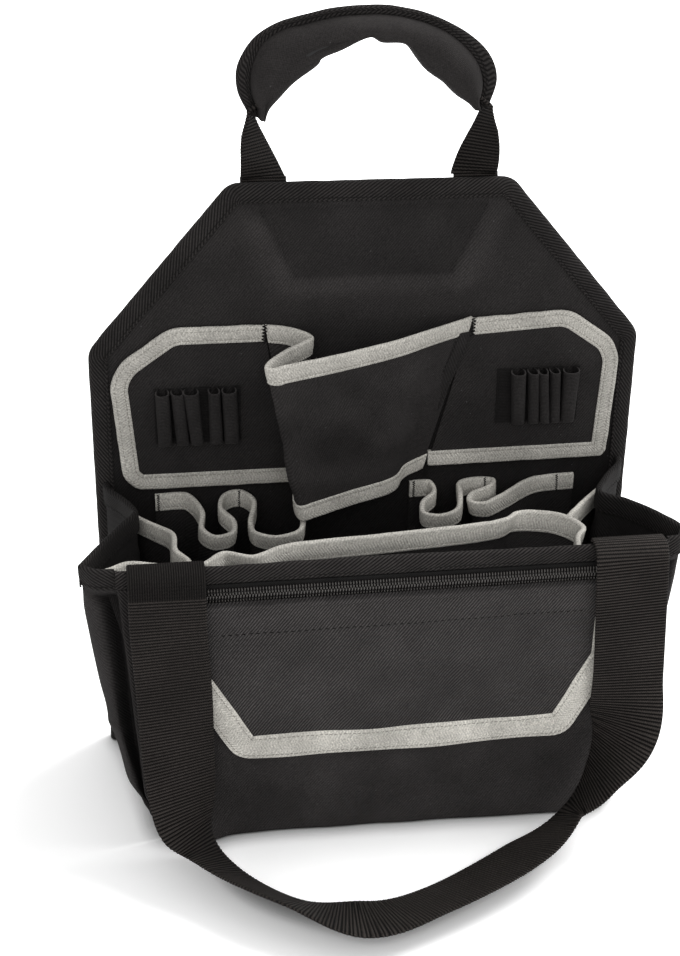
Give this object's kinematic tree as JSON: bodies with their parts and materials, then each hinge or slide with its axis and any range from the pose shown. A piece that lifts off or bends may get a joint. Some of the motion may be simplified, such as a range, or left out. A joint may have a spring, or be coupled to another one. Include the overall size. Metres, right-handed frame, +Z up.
{
  "type": "zippered tool bag",
  "caption": "Black open-topped tool tote with a tall padded-handle back, drill holster, grey-taped inner pockets, a zipped front pocket and a webbing strap.",
  "frame": {"origin": "on the floor under the middle of the base", "axes": "+Z up, +Y towards the tall back panel, -Y towards the zipped front"},
  "size_m": [0.3945, 0.2889, 0.5227],
  "materials": {
    "polyester": "matt woven",
    "twill": "matt diagonal twill",
    "black_binding": "herringbone tape",
    "grey_tape": "herringbone tape",
    "webbing": "ribbed webbing",
    "elastic": "matt ribbed",
    "board": "matt",
    "foam": "matt closed cell",
    "zip_nylon": "satin",
    "black_metal": "satin black"
  },
  "bodies": {
    "root": {"back_rear_skin": "polyester", "back_front_skin": "polyester", "tool_panel_left": "polyester", "tool_panel_right": "polyester", "holster_pocket": "polyester", "rear_pocket_left": "polyester", "rear_pocket_right": "polyester", "side_pocket_left": "polyester", "side_pocket_right": "polyester", "front_inner_pocket": "polyester", "front_wall": "polyester", "gusset_left": "polyester", "gusset_right": "polyester", "base_panel": "polyester", "zip_pocket_panel": "twill", "back_stiffener_board": "board", "base_board": "board", "back_edge_binding": "black_binding", "rim_binding_front": "black_binding", "corner_binding_left": "black_binding", "corner_binding_right": "black_binding", "gusset_left_binding": "black_binding", "gusset_right_binding": "black_binding", "zip_end_stop_left": "black_binding", "zip_end_stop_right": "black_binding", "tool_panel_left_binding": "grey_tape", "tool_panel_right_binding": "grey_tape", "holster_top_binding": "grey_tape", "holster_bottom_binding": "grey_tape", "rear_pocket_left_binding": "grey_tape", "rear_pocket_right_binding": "grey_tape", "side_pocket_left_binding": "grey_tape", "side_pocket_right_binding": "grey_tape", "front_inner_pocket_binding": "grey_tape", "zip_pocket_tape": "grey_tape", "zip_tape_upper": "zip_nylon", "zip_tape_lower": "zip_nylon", "zip_coil_upper": "zip_nylon", "zip_coil_lower": "zip_nylon", "strap_anchor_left": "webbing", "strap_anchor_right": "webbing", "handle_anchor_left": "webbing", "handle_anchor_right": "webbing", "bit_loops_left": "elastic", "bit_loops_right": "elastic"},
    "handle": {"handle_webbing": "webbing", "handle_foam": "foam", "handle_wrap": "polyester", "handle_wrap_binding": "black_binding"},
    "front_strap": {"front_strap": "webbing"},
    "zip_slider": {"zip_slider": "black_metal", "zip_pull": "black_metal"}
  },
  "joints": [
    {"name": "handle_swing", "type": "hinge", "parent": "root", "child": "handle", "pos_m": [0, 0.08522, 0.41564], "axis": [1, 0, 0], "range_deg": [-155, 60]},
    {"name": "strap_swing", "type": "hinge", "parent": "root", "child": "front_strap", "pos_m": [0, -0.0538, 0.2133], "axis": [-1, 0, 0], "range_deg": [0, 170]},
    {"name": "zip_slide", "type": "slide", "parent": "root", "child": "zip_slider", "axis": [-1, 0, 0], "range_m": [0, 0.268]}
  ]
}
